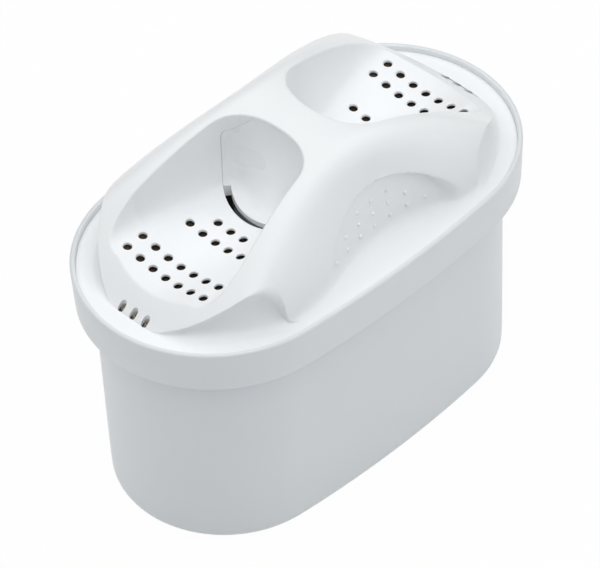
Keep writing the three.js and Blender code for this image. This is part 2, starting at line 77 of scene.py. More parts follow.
class CartridgeSizes(bpy.types.PropertyGroup):
    """Sizes of the moulded pieces"""
    half_length: length("Half length", HOUSING_HIGH.x, "Half the length of the oval collar")
    half_width: length("Half width", HOUSING_HIGH.y, "Half the width of the oval collar")
    side_bulge: length("Side bulge", 0.0012, "How much less the end radius is than the half width")
    collar_draft: length("Collar draft", 0.00045, "How much narrower the collar is at its underside")
    collar_edge: length("Collar edge", 0.0004, "Rounding of the collar's lower edge")
    rim_top: length("Rim height", HOUSING_HIGH.z, "Height of the rim above the bottom")
    rim_width: length("Rim width", 0.0012, "Width of the rim strip round the cover")
    rim_rounding: length("Rim rounding", 0.0006, "Radius of the outer edge of the rim")
    rim_inner_rounding: length("Rim inner rounding", 0.0005, "Radius of the inner edge of the rim")
    rim_gap: length("Rim gap", 0.00005, "Width of the joint line between cover and rim")
    joint_gap: length("Joint gap", 0.00006, "Width of the joint line round the flow insert")
    collar_bottom: length("Collar underside", 0.0498, "Height of the step under the collar")
    shelf_top: length("Shelf height", 0.0514, "Height of the shelf inside the collar")
    tub_inset: length("Tub inset", 0.0044, "How far the tub wall stands back under the collar")
    tub_draft: length("Tub draft", 0.0008, "How much further in the wall is at the bottom")
    tub_wall: length("Tub wall", 0.0016, "Wall thickness of the tub")
    tub_floor: length("Tub floor", 0.0018, "Thickness of the bottom")
    tub_rounding: length("Bottom rounding", 0.0030, "Radius round the bottom edge")
    slot_length: length("Outlet slot length", 0.012, "Length of an outlet slot")
    slot_width: length("Outlet slot width", 0.0016, "Width of an outlet slot")
    slot_pitch: length("Outlet slot pitch", 0.0046, "Distance from slot to slot")
    slot_count: IntProperty(name="Outlet slots", default=13, min=1, description="Slots in each of the two rows")
    slot_row_pitch: length("Slot row pitch", 0.017, "Distance between the two rows of slots")
    ledge: length("Ledge height", 0.0587, "Height of the flat ledge round the crown")
    crown_top: length("Crown height", COVER_HIGH.z, "Height of the arched crown in the middle")
    crown_fall: FloatProperty(
        name="Crown fall", default=9.9, description="Fall of the crown per square of the distance, in 1/m",
    )
    bridge_half: length("Bridge half width", 0.0159, "Half width of the crown in the middle")
    ridge_spread: FloatProperty(
        name="Ridge spread", default=5.3, description="Spread of the ridges per square of the distance, in 1/m",
    )
    waist: length("Waist half width", 0.0203, "Half width at the foot of the flanks in the middle")
    waist_growth: length("Waist growth", 0.005, "How much wider the foot is towards the ends")
    waist_reach: length("Waist reach", 0.015, "Distance over which the foot widens")
    flank_power: FloatProperty(
        name="Flank hollow", default=1.85, description="One for a plain slope, more for a hollow one",
    )
    flank_power_growth: FloatProperty(
        name="Flank hollow growth", default=1.2, description="What the hollow gains over its reach",
    )
    flank_power_reach: length("Flank hollow reach", 0.029, "Distance over which the hollow grows")
    crown_rounding: length("Crown rounding", 0.0044, "Radius along the outer edge of the ridges")
    foot_fillet: length("Foot fillet", 0.003, "Radius where the flank meets the ledge")
    skirt_half_length: length("Skirt half length", 0.0494, "Half length of the upright end walls")
    skirt_half_width: length("Skirt half width", 0.0301, "Half width of the upright end walls")
    skirt_power: FloatProperty(
        name="Skirt squareness", default=2.08, description="Two for an ellipse, more for a box",
    )
    skirt_fillet: length("Skirt fillet", 0.0012, "Radius at the foot of the end walls")
    arch_rounding: length("Arch rounding", 0.00045, "Radius along the edge between crown and end wall")
    cove: FloatProperty(
        name="Cove", default=0.28, description="Depth of the end walls' hollow for each metre of height",
    )
    basin_inner: length("Basin inner end", 0.00445, "Where the basin rim crosses the middle line")
    basin_floor: length("Basin floor height", 0.0631, "Height of the basin floors")
    basin_bow: FloatProperty(name="Basin floor bow", default=15.0, description="How fast the floor rises sideways")
    basin_half: length("Basin half width", 0.0105, "Half width of the basin before it flares")
    basin_flare: FloatProperty(name="Basin flare", default=0.17, description="Widening of the basin outwards")
    basin_flare_end: length("Basin flare end", 0.032, "Where the basin stops widening")
    basin_corner: length("Basin corner", 0.0126, "Where the rim starts to turn round the bridge")
    basin_rounding: length("Basin floor rounding", 0.0046, "Radius between basin floor and wall")
    scoop_end: length("Scoop end", 0.0136, "Where the spoon face under the bridge reaches the floor")
    basin_edge: length("Basin edge rounding", 0.0005, "Radius along the basin rim")
    recess_radius: length("Recess radius", 0.019, "Radius of the finger recess in each flank")
    recess_x: length("Recess offset", 0.0042, "How far the recess is off the middle")
    recess_z: length("Recess centre height", 0.0534, "Height of the recess centre")
    recess_y: length("Recess depth place", 0.0207, "Distance of the recess wall from the middle at its centre")
    recess_hollow: length("Recess hollow radius", 0.048, "Radius of the hollow back wall of the recess")
    bump_pitch: length("Bump pitch", 0.0045, "Distance between grip bumps")
    bump_x: length("Bump offset", 0.003, "How far the rows of bumps are off the middle")
    bump_size: length("Bump radius", 0.0005, "Radius of a grip bump")
    hole_size: length("Inlet hole diameter", 0.0019, "Diameter of the inlet holes")
    hole_pitch: length("Inlet hole pitch", 0.00373, "Distance between inlet holes in a row")
    hole_rounding: length("Inlet hole rounding", 0.0003, "Radius round the upper edge of an inlet hole")
    vent_width: length("Vent width", 0.0016, "Width of a vent slot")
    vent_pitch: length("Vent pitch", 0.00343, "Distance between vent slots")
    vent_inner: length("Vent inner end", 0.0467, "Where the vent slots start")
    vent_outer: length("Vent outer end", 0.0488, "Where the vent slots end")
    vent_wall: length("Vent wall", 0.0008, "Thickness of the end slope round the vents")
    insert_radius: length("Insert radius", 0.0156, "Radius of the round flow insert")
    insert_shoulder: length("Insert shoulder", 0.0773, "Height where its seam turns towards the bridge")
    shoulder_rounding: length("Shoulder rounding", 0.0017, "Radius where the seam turns")
    neck_radius: length("Neck radius", 0.0078, "Radius of the seam just under the bridge")
    neck_flare: length("Neck flare", 0.0032, "How far the foot of the neck is drawn outwards")
    neck_rise: length("Neck rise", 0.0009, "How far the foot of the neck is drawn upwards")
    bridge_plate: length("Bridge plate", 0.0006, "Thickness of the cover over the insert")
    slit_width: length("Crescent slot width", 0.0016, "Width of the slot under a spoon's lip")
    slit_rise: length("Crescent slot rise", 0.0032, "How far the slot cuts into the walls above the floor")
    slit_turn: FloatProperty(
        name="Crescent slot turn", default=math.radians(38.25), description="Half the angle of the slot",
        unit="ROTATION",
    )
    port_turn: FloatProperty(
        name="Port turn", default=math.radians(50), description="Half the angle of the port below it",
        unit="ROTATION",
    )
    lip_bottom: length("Lip underside", 0.0619, "Height of the flat underside of the spoons")
    room_half: length("Room half width", 0.0138, "Half width of the room under a basin floor")
    room_outer: length("Room outer end", 0.0414, "Where the room under a basin floor ends")
    vent_room_half: length("Vent room half width", 0.0062, "Half width of the room behind the vents")
    vent_room_margin: length("Vent room margin", 0.0016, "How far that room reaches inwards past the vents")
    basin_plate: length("Basin plate", 0.0006, "Thickness of the basin floors")
    plate: length("Plate thickness", 0.0016, "Wall thickness of the cover")


class CartridgeColours(bpy.types.PropertyGroup):
    """Colours of the materials"""
    housing: tint("Housing", (0.79, 0.815, 0.835), "White plastic of the tub")
    cover: tint("Cover", (0.93, 0.94, 0.952), "White plastic of the cover")
    insert: tint("Insert", (0.925, 0.936, 0.948), "White plastic of the flow insert")
    pale_mesh: tint("Pale mesh", (0.56, 0.49, 0.38), "Threads of the vent and outlet screens")
    dark_mesh: tint("Dark mesh", (0.12, 0.082, 0.052), "Threads of the inlet screens")
    carbon: tint("Carbon", (0.012, 0.011, 0.010), "Grains of activated carbon")
    fleece: tint("Fleece", (0.72, 0.71, 0.66), "Fleece between the beds")
    resin: tint("Resin", (0.48, 0.28, 0.08), "Resin beads")
    room_light: tint("Room light", (0.085, 0.09, 0.094), "Light from all round")
    floor: tint("Floor", (0.88, 0.89, 0.90), "Floor of the studio")


# Lines of points


def soft_corner(start, corner, end, steps):
    """Points of a smooth curve from start to end, pulled towards corner."""
    shares = [i / steps for i in range(steps + 1)]
    return [start * (1 - t) ** 2 + corner * (2 * t * (1 - t)) + end * t * t for t in shares]


def resample(points, count):
    """Evenly spaced points along a line of points, with both of its ends."""
    reach = [0.0]
    for a, b in zip(points, points[1:]):
        reach.append(reach[-1] + (b - a).length)
    if reach[-1] < 1e-9:
        return [points[0].copy() for _ in range(count)]
    made, k = [], 0
    for i in range(count):
        want = reach[-1] * i / (count - 1)
        while k < len(points) - 2 and reach[k + 1] < want:
            k += 1
        span = reach[k + 1] - reach[k]
        made.append(points[k].lerp(points[k + 1], min(1.0, (want - reach[k]) / span) if span else 0.0))
    return made


def without_start(points, distance):
    """The line of points without its first stretch of that length."""
    for k, (a, b) in enumerate(zip(points, points[1:])):
        span = (b - a).length
        if span > distance:
            return [a.lerp(b, distance / span)] + points[k + 1:]
        distance -= span
    return points[-1:]


def join_rounded(before, after, radius, counts):
    """Two lines that meet in a corner, as one line with the corner rounded and a fixed count of points in each."""
    first = without_start(before[::-1], radius)[::-1]
    second = without_start(after, radius)
    corner = soft_corner(first[-1], before[-1], second[0], counts[1] + 1)[1:-1]
    return resample(first, counts[0]) + corner + resample(second, counts[2])


def between(points, low, high):
    """The part of a section whose first coordinate runs from low to high."""
    made = []
    for a, b in zip(points, points[1:]):
        if b.x < low or a.x > high:
            continue
        span = b.x - a.x
        start = a if a.x >= low or span < 1e-12 else a.lerp(b, (low - a.x) / span)
        end = b if b.x <= high or span < 1e-12 else a.lerp(b, (high - a.x) / span)
        if not made:
            made.append(start)
        made.append(end)
    return made or [points[-1].copy()]


def height_at(points, across):
    """Height of a section at a distance from the middle."""
    for a, b in zip(points, points[1:]):
        if b.x >= across:
            span = b.x - a.x
            return b.y if span < 1e-12 else a.y + (b.y - a.y) * max(0.0, across - a.x) / span
    return points[-1].y


def crossing(inside, low, high):
    """The distance between low and high at which a test stops holding."""
    for _ in range(40):
        middle = (low + high) / 2
        if inside(middle):
            low = middle
        else:
            high = middle
    return (low + high) / 2


# Form of the cover: half of it is made, and the other half is that one turned about Z

RECESS_EDGE = 0.0005
RECESS_FOOT = 0.006
RECESS_LEAN = 0.15
RECESS_BLEND = 0.0003
CREST_FALL = 0.05
CREST_SHARE = 0.35
LEAST_CREST = 0.0008
WALL_LEAN = 0.1
RIM_POWER = 2.4
CLEAR = 0.004


def crown_height(s, x):
    return s.crown_top - s.crown_fall * x * x


def ridge(s, x):
    return s.bridge_half + s.ridge_spread * x * x


def crest_rounding(s, x):
    return s.crown_rounding - CREST_FALL * x


def recess_wall(s, across, z):
    """Distance of the recess's leaning, hollow wall from the middle plane."""
    return s.recess_y - RECESS_LEAN * (z - s.recess_z) + across * across / (2 * s.recess_hollow)


def recess_depth(s, x, y, z, side):
    """How far the finger recess sinks the flank at a point of the given side."""
    across = x + side * s.recess_x
    low = (s.recess_z + s.recess_radius - z) / (s.recess_z + s.recess_radius - s.ledge)
    softness = RECESS_EDGE + RECESS_FOOT * max(low, 0.0) ** 3
    inside = (s.recess_radius - math.hypot(across, z - s.recess_z)) / softness + 0.5
    inside = min(max(inside, 0.0), 1.0)
    depth = y - recess_wall(s, across, z)
    depth = (depth + math.sqrt(depth * depth + RECESS_BLEND ** 2)) / 2
    return depth * inside * inside * (3 - 2 * inside)


def crown_section(s, x, side):
    """Half section of the crown at x, from its middle over the flank to the ledge."""
    top = crown_height(s, x)
    rise = max(top - s.ledge, 0.0005)
    rounding = min(crest_rounding(s, x), rise * 0.45)
    foot = min(s.foot_fillet, rise * 0.4)
    waist = s.waist + s.waist_growth * (1 - math.exp(-((x / s.waist_reach) ** 2)))
    edge = ridge(s, x)
    power = s.flank_power + s.flank_power_growth * (x / s.flank_power_reach) ** 2

    def at(share):
        y = waist - (waist - edge) * max(share, 0.0) ** power
        z = top - rise * (1 - share)
        return Vector((y - recess_depth(s, x, y, z, side), z))

    start, end = 1 - rounding / rise, foot / rise
    points = [Vector((0, top))] + soft_corner(Vector((edge - rounding, top)), at(1), at(start), 10)
    points += [at(start + (end - start) * i / 60) for i in range(1, 61)]
    points += soft_corner(at(end), at(0), Vector((at(0).x + foot / 2, s.ledge)), 8)[1:]
    return points


def crown_at(s, x, y):
    return height_at(crown_section(s, abs(x), 1 if y > 0 else -1), abs(y))


def inside_skirt(s, x, y):
    return (abs(x) / s.skirt_half_length) ** s.skirt_power + (abs(y) / s.skirt_half_width) ** s.skirt_power < 1


def inside_oval(s, x, y, inset):
    """Whether a point is inside the collar's outline of four arcs, moved inwards by inset."""
    a, b = s.half_length - inset, s.half_width - inset
    r = b - s.side_bulge
    big = ((a - r) ** 2 + b * b - r * r) / (2 * (b - r))
    x, y = abs(x), abs(y)
    turn = math.atan2(big - b, a - r)
    if math.atan2(y + big - b, x) < turn:
        return math.hypot(x - a + r, y) < r
    return math.hypot(x, y + big - b) < big


def basin_rim(s, x):
    """Half width of a basin at its rim."""
    straight = s.basin_half + s.basin_flare * min(x, s.basin_flare_end)
    if x >= s.basin_corner:
        return straight
    if x <= s.basin_inner:
        return 0.0
    share = (s.basin_corner - x) / (s.basin_corner - s.basin_inner)
    return straight * (1 - share ** RIM_POWER) ** (1 / RIM_POWER)


def floor_height(s, y):
    return s.basin_floor + s.basin_bow * y * y


def basin_wall(rim, flat, low, high, depth):
    """Curve of a basin wall from the floor at flat to the rim, as distance and height."""
    lower = soft_corner(
        Vector((flat, low)), Vector((rim - 0.0004, low)), Vector((rim - 0.0001, low + 0.55 * depth)), 16,
    )
    return lower + [Vector((rim, high))]


def basin_section(s, x):
    """Half section of a basin at x, from its middle up to its rim and past it."""
    rim = basin_rim(s, x)
    depth = crown_height(s, min(x, s.basin_flare_end)) - s.basin_floor
    flat = rim - WALL_LEAN * depth - min(s.basin_rounding, depth * 0.7)
    points = [Vector((flat * i / 6, floor_height(s, flat * i / 6))) for i in range(6)]
    return points + basin_wall(rim, flat, floor_height(s, flat), s.crown_top + CLEAR, depth)


FAN_X = 0.036
FAN_RAYS = 56
BRIDGE_RAYS = 40
STEP = 0.0005
WALL_POINTS = 60
TOP_COUNTS = (42, 6, 18)
FLANK_COUNTS = (60, 9, 20)
LEDGE_COUNT = 9


def basin_ray(s, start, way, reach):
    """Surface along a straight ray out of a basin, up to its rim, and how far away the rim is."""
    side = 1 if way.y > 0 else -1
    section = basin_section(s, start.x)
    steady = abs(way.x) < 1e-9
    crown = crown_section(s, start.x, side) if steady else None

    def top(t):
        p = start + way * t
        return height_at(crown, abs(p.y)) if steady else crown_at(s, p.x, side * abs(p.y))

    def bottom(t):
        y = abs(way.y * t)
        return height_at(section, y) if y < section[-1].x else s.crown_top + 1

    rim = crossing(lambda t: bottom(t) < top(t), 0.0, reach)
    stops = {rim * i / 24 for i in range(24)}
    if abs(way.y) > 0.05:
        stops |= {p.x / abs(way.y) for p in section if p.x / abs(way.y) < rim}
    points = [start + way * t for t in sorted(stops)]
    line = [Vector((p.x, p.y, bottom((p - start).length))) for p in points]
    edge = start + way * rim
    return line + [Vector((edge.x, edge.y, top(rim)))], rim


def bridge_ray(s, start, end):
    """Surface along a ray from the foot of the spoon face to the crest or the middle of the bridge."""
    way = (end - start).normalized()
    side = 1 if way.y > 0 else -1
    reach = (end - start).length
    rim = crossing(lambda t: abs((start + way * t).y) < basin_rim(s, (start + way * t).x), 0.0, reach)
    edge = start + way * rim
    high = crown_at(s, edge.x, side * abs(edge.y))
    depth = high - s.basin_floor
    flat = max(rim - WALL_LEAN * depth - s.basin_rounding, rim * 0.25)
    wall = [Vector((0, s.basin_floor)), Vector((flat / 2, floor_height(s, way.y * flat / 2)))]
    low = floor_height(s, way.y * flat)
    wall = resample(wall + basin_wall(rim, flat, low, high, depth), WALL_POINTS)
    turns = [math.pi / 2 * i / 40 for i in range(41)]
    scoop = [Vector((rim * math.sin(t), s.basin_floor + depth * (1 - math.cos(t)))) for t in turns]
    scoop = resample(scoop, WALL_POINTS)
    share = way.x * way.x
    line = [a.lerp(b, share) for a, b in zip(wall, scoop)]
    line = [Vector((start.x + way.x * p.x, start.y + way.y * p.x, p.y)) for p in line]
    line[-1] = Vector((edge.x, edge.y, high))
    stops = [rim + (reach - rim) * i / 16 for i in range(17)]
    points = [start + way * t for t in stops]
    crest = [Vector((p.x, p.y, crown_at(s, p.x, side * abs(p.y)))) for p in points]
    return join_rounded(line, crest, s.basin_edge, TOP_COUNTS)


def crest_half(s, x, rim, skirt):
    """Half width at which the top of the crown hands over to its flank."""
    return max(rim + LEAST_CREST, min(ridge(s, x) - crest_rounding(s, x), rim + CREST_SHARE * (skirt - rim)))


def outer_ray(s, flank, edge, way, wall_reach):
    """Surface from the crest outwards: flank, end wall if there is one, ledge, and the joint at the rim."""
    foot = edge.z - s.ledge
    base = Vector((edge.x, edge.y, s.ledge))
    out = Vector((way.x, way.y, 0))
    fillet = min(s.skirt_fillet, foot * 0.8)
    leg = crown_height(s, edge.x) - edge.z
    rounding = min(s.arch_rounding + 0.4 * max(leg, 0.0), foot * 0.4)
    wall = []
    for i in range(25):
        t = i / 24
        aside = fillet * t ** 8 - s.cove * foot * math.sin(math.pi * t ** 0.8)
        wall.append(Vector((edge.x, edge.y, edge.z - foot * t)) + out * aside)
    line = join_rounded(flank, wall, rounding, FLANK_COUNTS)
    end = base + out * wall_reach
    return line + resample([line[-1], end], LEDGE_COUNT)[1:]


def cover_rays(s):
    """Rays over half of the cover: those over its top, in a closed round, and those over its flank and ledge."""
    top, flank = [], []
    outer_inset = s.rim_width + s.rim_gap

    def steady(x, side):
        way = Vector((0, side))
        skirt = crossing(lambda t: inside_skirt(s, x, t), 0.0, s.half_width)
        section = crown_section(s, x, side)
        if x >= s.scoop_end - 1e-9:
            line, rim = basin_ray(s, Vector((x, 0)), way, skirt)
            crest = crest_half(s, x, rim, skirt)
            crown = [Vector((x, side * p.x, p.y)) for p in between(section, rim, crest)]
            top_line = join_rounded(line, crown, s.basin_edge, TOP_COUNTS)
        else:
            crest = crest_half(s, x, basin_rim(s, x), skirt)
            end = Vector((x, side * crest))
            top_line = bridge_ray(s, Vector((s.scoop_end, 0)), end)
        last = min(section[-1].x, skirt)
        down = [Vector((x, side * p.x, p.y)) for p in between(section, crest, last)]
        joint = crossing(lambda t: inside_oval(s, x, t, outer_inset), 0.0, s.half_width)
        return top_line, outer_ray(s, down, down[-1], way, joint - last)

    def fanned(angle):
        start = Vector((FAN_X, 0))
        way = Vector((math.cos(angle), math.sin(angle)))
        at = lambda t: start + way * t
        skirt = crossing(lambda t: inside_skirt(s, at(t).x, at(t).y), 0.0, 2 * s.half_width)
        line, rim = basin_ray(s, start, way, skirt)
        crest = rim + CREST_SHARE * (skirt - rim)
        slope = lambda t: Vector((at(t).x, at(t).y, crown_height(s, at(t).x)))
        crown = [slope(rim + (crest - rim) * i / 12) for i in range(13)]
        down = [slope(crest + (skirt - crest) * i / 12) for i in range(13)]
        joint = crossing(lambda t: inside_oval(s, at(t).x, at(t).y, outer_inset), 0.0, 2 * s.half_width)
        top_line = join_rounded(line, crown, s.basin_edge, TOP_COUNTS)
        return top_line, outer_ray(s, down, down[-1], way, joint - skirt)

    straight = round((FAN_X - s.scoop_end) / STEP)
    middle = round(s.scoop_end / STEP)
    stations = [s.scoop_end * i / middle for i in range(middle)]
    stations += [s.scoop_end + (FAN_X - s.scoop_end) * i / straight for i in range(straight + 1)]
    near = [steady(x, 1) for x in stations]
    end = [fanned(math.pi / 2 - math.pi * i / FAN_RAYS) for i in range(1, FAN_RAYS)]
    far = [steady(x, -1) for x in stations[::-1]]
    bridge_half = crest_half(s, 0, 0, s.skirt_half_width)
    for i in range(1, BRIDGE_RAYS):
        y = -bridge_half + 2 * bridge_half * i / BRIDGE_RAYS
        top.append(bridge_ray(s, Vector((s.scoop_end, 0)), Vector((0, y))))
    top = [a for a, _ in near + end + far] + top
    flank = [b for _, b in near + end + far]
    return top + top[:1], flank


# Mesh helpers


def lay_grid(bm, rays):
    """A grid of faces through equal rays of points."""
    columns, rows = len(rays) - 1, len(rays[0]) - 1
    made = bmesh.ops.create_grid(bm, x_segments=columns, y_segments=rows, size=1.0)["verts"]
    for v in made:
        i = round((v.co.x + 1) / 2 * columns)
        j = round((v.co.y + 1) / 2 * rows)
        v.co = rays[i][j]
    return made


def weld(bm, distance=2e-6):
    bmesh.ops.remove_doubles(bm, verts=bm.verts, dist=distance)
    bmesh.ops.dissolve_degenerate(bm, dist=1e-7, edges=bm.edges)


def close_below(bm, z):
    """Draws the open edge of a sheet straight down and closes it with a flat bottom."""
    edges = [e for e in bm.edges if e.is_boundary]
    drawn = bmesh.ops.extrude_edge_only(bm, edges=edges)["geom"]
    for v in drawn:
        if isinstance(v, bmesh.types.BMVert):
            v.co.z = z
    bmesh.ops.holes_fill(bm, edges=[e for e in bm.edges if e.is_boundary], sides=0)


def finished(bm, name, sharp=34.0):
    """An object from a bmesh, faces outwards, smooth except along its sharp edges."""
    bmesh.ops.recalc_face_normals(bm, faces=bm.faces)
    mesh = bpy.data.meshes.new(name)
    bm.to_mesh(mesh)
    bm.free()
    piece = bpy.data.objects.new(name, mesh)
    bpy.context.scene.collection.objects.link(piece)
    smooth(piece, sharp)
    return piece


def smooth(piece, sharp=34.0):
    mesh = piece.data
    mesh.polygons.foreach_set("use_smooth", [True] * len(mesh.polygons))
    mesh.set_sharp_from_angle(angle=math.radians(sharp))


def turned(bm, line, steps=144):
    """A closed body turned about Z from a line of (radius, height) points that starts and ends on the axis."""
    verts = [bm.verts.new((p.x, 0, p.y)) for p in line]
    edges = [bm.edges.new(pair) for pair in zip(verts, verts[1:])]
    known = set(bm.verts) - set(verts)
    bmesh.ops.spin(
        bm, geom=verts + edges, cent=(0, 0, 0), axis=(0, 0, 1), angle=math.tau, steps=steps, use_merge=True,
    )
    made = [v for v in bm.verts if v not in known]
    bmesh.ops.remove_doubles(bm, verts=made, dist=1e-7)
    return [v for v in bm.verts if v not in known]


def prism(bm, outline, low, high):
    """An upright prism over an outline of [x, y] points."""
    corners = [bm.verts.new((x, y, low)) for x, y in outline]
    base = bm.faces.new(corners)
    drawn = bmesh.ops.extrude_face_region(bm, geom=[base])["geom"]
    top = [v for v in drawn if isinstance(v, bmesh.types.BMVert)]
    bmesh.ops.translate(bm, verts=top, vec=(0, 0, high - low))
    return corners + top


def carve(piece, tool, operation="DIFFERENCE"):
    """Cuts a piece with a closed tool, or keeps what both share, and removes the tool."""
    modifier = piece.modifiers.new("Carve", "BOOLEAN")
    modifier.operation = operation
    modifier.solver = "MANIFOLD"
    modifier.object = tool
    bpy.context.view_layer.update()
    made = bpy.data.meshes.new_from_object(piece.evaluated_get(bpy.context.evaluated_depsgraph_get()))
    if not made.polygons:
        raise RuntimeError(f"nothing is left of {piece.name} after a cut")
    old, tool_mesh = piece.data, tool.data
    piece.modifiers.clear()
    made.name = piece.name
    piece.data = made
    bpy.data.meshes.remove(old)
    bpy.data.objects.remove(tool)
    bpy.data.meshes.remove(tool_mesh)
    smooth(piece)


def both_ends(x):
    return (x, -x)


def arc(centre, radius, first, last, steps):
    """Points of an arc in plan; angles in radians."""
    turns = [first + (last - first) * i / steps for i in range(steps + 1)]
    return [(centre + radius * math.cos(t), radius * math.sin(t)) for t in turns]


def cover_form(s, name):
    """The closed outer form that the cover and the flow insert share."""
    bm = bmesh.new()
    top, flank = cover_rays(s)
    lay_grid(bm, top)
    lay_grid(bm, flank)
    weld(bm)
    copy = bmesh.ops.duplicate(bm, geom=bm.verts[:] + bm.edges[:] + bm.faces[:])["geom"]
    far_half = [v for v in copy if isinstance(v, bmesh.types.BMVert)]
    bmesh.ops.rotate(bm, verts=far_half, cent=(0, 0, 0), matrix=Matrix.Rotation(math.pi, 3, "Z"))
    weld(bm)
    close_below(bm, COVER_LOW.z)
    weld(bm)
    return finished(bm, name)


def insert_space(s, grow, name):
    """The room that the flow insert takes up: a round plug with a rounded shoulder and a neck up to the bridge."""
    side, neck, shoulder = s.insert_radius + grow, s.neck_radius + grow, s.insert_shoulder + grow
    bottom, top = INSERT_LOW.z - max(grow, 0), s.crown_top - s.bridge_plate + grow
    below = Vector((side, shoulder - s.shoulder_rounding))
    beside = Vector((side - s.shoulder_rounding, shoulder))
    line = [Vector((0, bottom)), Vector((side, bottom))]
    line += soft_corner(below, Vector((side, shoulder)), beside, 10)
    foot = Vector((neck + s.neck_flare, shoulder + s.neck_rise))
    line += soft_corner(beside, foot, Vector((neck, s.crown_top)), 24)[1:]
    line += [Vector((neck * (1 - i / 8), s.crown_top)) for i in range(1, 9)]
    bm = bmesh.new()
    for v in turned(bm, line):
        v.co.z = min(v.co.z, top - s.crown_fall * v.co.x ** 2)
    return finished(bm, name)


def ring_part(bm, inner, outer, turn, low, high):
    """Part of an upright ring about the middle, at both ends of the oval."""
    outline = arc(0, outer, -turn, turn, 40) + arc(0, inner, turn, -turn, 40)
    prism(bm, outline, low, high)
    prism(bm, [(-x, -y) for x, y in outline], low, high)


def floor_at(s, x, y):
    """Height of a basin's surface over a point."""
    return height_at(basin_section(s, min(abs(x), FAN_X)), abs(y))


def along_x(bm, outline, low, high):
    """A prism along X over an outline of [y, z] points."""
    for v in prism(bm, outline, low, high):
        v.co = (v.co.z, v.co.x, v.co.y)


def ride(piece, node, material):
    """Puts a finished piece in the place of a CAD node."""
    piece.data.materials.clear()
    piece.data.materials.append(material)
    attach(piece, "root")
    if node:
        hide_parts(node)


# Materials


class Value:
    """A shader value: sums, products and powers of values add Math nodes."""

    def __init__(self, shader, socket):
        self.shader, self.socket = shader, socket

    def maths(self, operation, *values):
        settings = {"operation": operation}
        inputs = {i: value for i, value in enumerate(values)}
        return self.shader.value("ShaderNodeMath", settings, inputs)

    def __add__(self, other):
        return self.maths("ADD", self, other)

    def __radd__(self, other):
        return self.maths("ADD", other, self)

    def __sub__(self, other):
        return self.maths("SUBTRACT", self, other)

    def __rsub__(self, other):
        return self.maths("SUBTRACT", other, self)

    def __mul__(self, other):
        return self.maths("MULTIPLY", self, other)

    def __rmul__(self, other):
        return self.maths("MULTIPLY", other, self)

    def __pow__(self, other):
        return self.maths("POWER", self, other)


class Shader:
    """A material that is built node by node."""

    def __init__(self, name):
        self.material = bpy.data.materials.new(name)
        self.material.use_nodes = True
        self.tree = self.material.node_tree
        self.tree.nodes.clear()
        self.output = self.node("ShaderNodeOutputMaterial")
        self.place = self.node("ShaderNodeTexCoord").outputs["Object"]

    def node(self, kind, settings=None, inputs=None):
        made = self.tree.nodes.new(kind)
        for key, value in (settings or {}).items():
            if key == "stops":
                for stop, (position, colour) in zip(made.color_ramp.elements, value):
                    stop.position, stop.color = position, (*colour, 1.0)
            else:
                setattr(made, key, value)
        for key, value in (inputs or {}).items():
            socket = made.inputs[key]
            value = value.socket if isinstance(value, Value) else value
            if isinstance(value, bpy.types.NodeSocket):
                self.tree.links.new(value, socket)
            elif socket.type == "RGBA":
                socket.default_value = (*value, 1.0)
            else:
                socket.default_value = value
        return made

    def value(self, kind, settings=None, inputs=None, output=0):
        return Value(self, self.node(kind, settings, inputs).outputs[output])

    def noise(self, scale, detail=2.0, stretch=None):
        place = self.place
        if stretch:
            place = self.node("ShaderNodeMapping", {}, {"Vector": place, "Scale": stretch}).outputs[0]
        return self.value("ShaderNodeTexNoise", {}, {"Vector": place, "Scale": scale, "Detail": detail})

    def blend(self, share, first, second):
        return self.value(
            "ShaderNodeMix", {"data_type": "RGBA"}, {"Factor": share, 6: first, 7: second}, output=2,
        )

    def bump(self, height, distance, strength=1.0):
        return self.value(
            "ShaderNodeBump", {}, {"Height": height, "Distance": distance, "Strength": strength},
        )

    def surface(self, **inputs):
        sockets = {key.replace("_", " ").title().replace("Ior", "IOR"): value for key, value in inputs.items()}
        made = self.node("ShaderNodeBsdfPrincipled", {}, sockets)
        self.tree.links.new(made.outputs[0], self.output.inputs["Surface"])
        return self.material


# Painted shade: near black colour for a piece below a height, standing in for the shadow inside the duct
DUCT_SHADE_TONE = (0.03, 0.026, 0.02)
DUCT_SHADE_FADE = 0.0003


def scaled(colour, share):
    return tuple(min(1.0, c * share) for c in colour)


def moulded_plastic(name, colour, roughness, orange_peel, shade_below=None):
    """White moulded plastic: faint clouding, uneven gloss, a fine texture, and painted shade below a height."""
    shader = Shader(name)
    cloud = shader.noise(38.0, 3.0)
    grain = shader.noise(2600.0, 2.0)
    ripple = shader.noise(240.0, 2.0)
    tone = shader.blend(cloud, scaled(colour, 0.985), scaled(colour, 1.012))
    # painted shade: the colour fades to near black below the given height
    if shade_below is not None:
        parts = shader.node("ShaderNodeSeparateXYZ", {}, {0: shader.place})
        height = Value(shader, parts.outputs["Z"])
        share = shader.value(
            "ShaderNodeMapRange", {},
            {"Value": height, "From Min": shade_below - DUCT_SHADE_FADE, "From Max": shade_below + DUCT_SHADE_FADE / 3},
        )
        tone = shader.blend(share, DUCT_SHADE_TONE, tone)
    gloss = roughness - 0.04 + 0.08 * cloud
    height = ripple * 0.7 + grain * 0.3
    return shader.surface(
        base_color=tone, roughness=gloss, ior=1.49, normal=shader.bump(height, 0.00002, orange_peel),
    )


